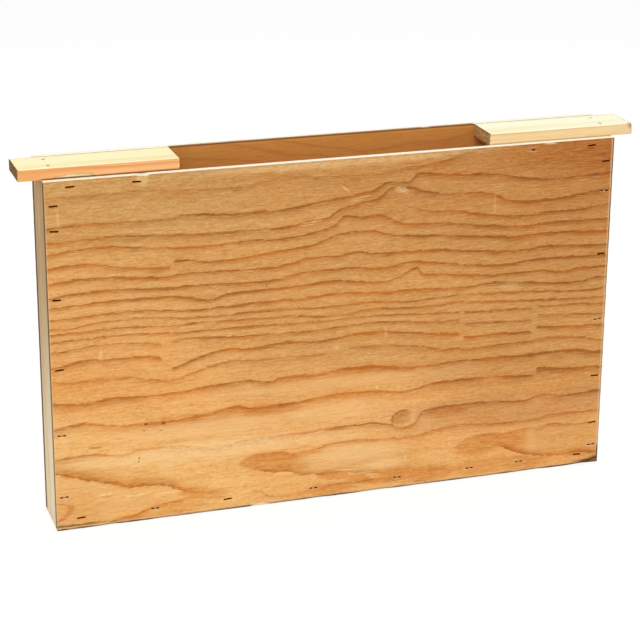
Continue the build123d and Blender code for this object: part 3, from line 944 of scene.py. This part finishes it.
lugBars = {
    "left": {
        "node": "left_lug_bar", "seed": 1.3,
        # from, to, upper edge, how ragged, how deep, fall of its ends
        "tornStrip": (-217, -185, 276.4, 0.8, 0.7, 2.6),
    },
    "right": {
        "node": "right_lug_bar", "seed": 6.1,
        "chip": (241.3, -16.65, 281, 4.2, 0.4),  # place, reach and depth of a knocked corner
        "chipWay": (-0.5, 0.8, -0.6),
    },
}
lugShape = {
    "pitch": 1.9, "acrossPitch": 3.4, "levels": (273.1, 273.8, 274.5, 275.2, 275.9, 276.6, 277.6, 279.2, 280.6),
    "wander": 0.1, "ripple": 130, "skin": 0.8,
}


def addLugBar(side, s):
    bm = newShape(s["node"])
    low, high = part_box(s["node"])
    cutAcross(bm, 0, steps(low.x, high.x, s["pitch"] * mm))
    cutAcross(bm, 1, steps(low.y, high.y, s["acrossPitch"] * mm))
    cutAcross(bm, 2, [level * mm for level in s["levels"]])
    roughen(bm, s["wander"] * mm, s["ripple"], s["seed"])
    torn, pit = wearOf(bm)
    if "tornStrip" in s:
        start, stop, top, ragged, depth, fall = (part * mm for part in s["tornStrip"])
        for vert in bm.verts:
            co = vert.co
            ripple = noise.noise(Vector((co.x * 240, 3, 2)))
            share = (co.x - start) / (stop - start)
            edge = top + ragged * ripple - (2 * share - 1.1) ** 2 * fall
            if co.y < low.y + s["skin"] * mm and start < co.x < stop and co.z < edge:
                vert.co.y += depth * (0.5 + 0.5 * noise.noise(Vector((co.x * 420, co.z * 600, 5))))
                vert[torn] = 1
    if "chip" in s:
        x, y, z, reach, depth = (part * mm for part in s["chip"])
        corner = Vector((x, y, z))
        for vert in bm.verts:
            away = (vert.co - corner).length / reach
            if away < 1:
                vert.co += Vector(s["chipWay"]) * (depth * (1 - away))
                vert[pit] = 0.75 * (1 - away * away)
    linkPiece(bm, f"{side}LugBar", barPine[side], "tank", "pine_bar", s["node"])


for side, s in lugBars.items():
    addLugBar(side, {**lugShape, **s})
print("lug bars built")

lumber = {
    "leftPost": {"node": "left_end_post", "material": postPine, "seed": 2.2},
    "rightPost": {"node": "right_end_post", "material": postPine, "seed": 4.4},
    "floorRail": {"node": "bottom_rail", "material": innerPine, "seed": 7.5},
    "leftCleat": {"node": "left_bar_cleat", "material": cleatPinePaintedBright, "seed": 8.8},
    "rightCleat": {"node": "right_bar_cleat", "material": cleatPinePaintedBright, "seed": 5.1},
}
lumberShape = {"pitch": 9, "arris": 0.4, "wander": 0.12, "ripple": 90}


def addLumber(name, s):
    low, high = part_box(s["node"])
    size = high - low
    bm = newShape()
    bmesh.ops.create_cube(bm, size=1, matrix=Matrix.Translation((low + high) / 2) @ Matrix.Diagonal((*size, 1)))
    for axis in range(3):
        cutAcross(bm, axis, steps(low[axis], high[axis], s["pitch"] * mm))
    softenEdges(bm, sharpEdges(bm), s["arris"])
    roughen(bm, s["wander"] * mm, s["ripple"], s["seed"])
    linkPiece(bm, name, s["material"], "tank", "pine_frame", s["node"])


for name, s in lumber.items():
    addLumber(name, {**lumberShape, **s})
print("posts, rail and cleats built")

floatShape = {"arris": 0.3, "flat": 2, "sharp": 60}  # mm, then degrees
wireShape = {"flat": 3, "sharp": 30}
wireArris = {"staple": 0.16, "brad": 0.12}


def addWire(node, kind):
    bm = softCopy(node, wireArris[kind], **wireShape)
    fromMiddle, hidMiddle, hidEnds = (bm.verts.layers.float.new(n) for n in ("fromMiddle", "hidMiddle", "hidEnds"))
    for group in islands(bm):
        places = [vert.co.x for vert in group]
        middle, half = (min(places) + max(places)) / 2, (max(places) - min(places)) / 2
        spot = Vector((middle, 0, sum(vert.co.z for vert in group) / len(group)))
        for vert in group:
            vert[fromMiddle] = (vert.co.x - middle) / half
            vert[hidMiddle] = any(nearSpot(spot, place) for place in hiddenMiddles)
            vert[hidEnds] = any(nearSpot(spot, place) for place in hiddenEnds)
    linkPiece(bm, node + "_worn", stapleSteel, "tank", f"{kind}_wire", node)


linkPiece(softCopy("syrup_float", **floatShape), "floatSlat", innerPine, "float", "float_wood", "syrup_float")
for face in boards:
    for row in stapleRows:
        addWire(f"{face}_{row}_staples", "staple")
for side in lugBars:
    addWire(f"{side}_lug_brads", "brad")
print("float and fixings built")
